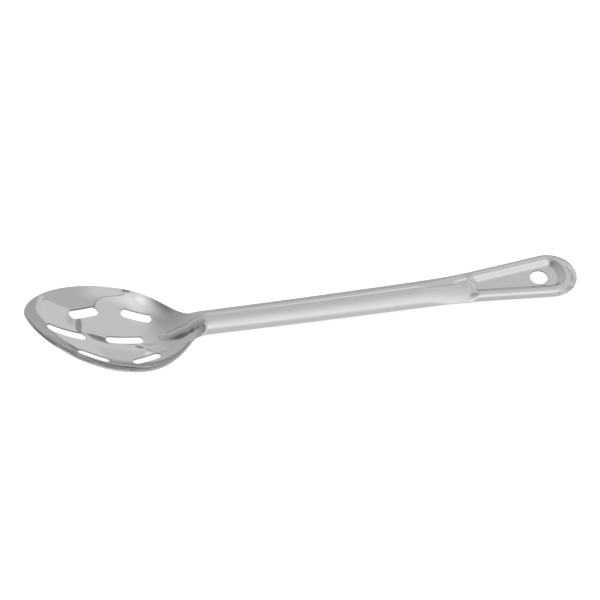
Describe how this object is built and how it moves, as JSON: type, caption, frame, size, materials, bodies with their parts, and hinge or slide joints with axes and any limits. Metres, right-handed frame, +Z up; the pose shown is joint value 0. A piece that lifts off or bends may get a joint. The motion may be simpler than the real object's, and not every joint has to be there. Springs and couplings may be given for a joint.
{
  "type": "slotted serving spoon",
  "caption": "Long one-piece pressed steel serving spoon with a slotted oval bowl, a round-backed handle and a flared end with a hanging hole.",
  "frame": {"origin": "on the table, under the middle of the spoon's bounding box, as the spoon lies at rest with its hollow side up", "axes": "+X from the bowl's tip to the handle's end, +Y across the bowl, +Z up"},
  "size_m": [0.382, 0.0748, 0.0483],
  "materials": {
    "polished_steel": "polished"
  },
  "bodies": {
    "root": {"spoon": "polished_steel"}
  },
  "joints": []
}
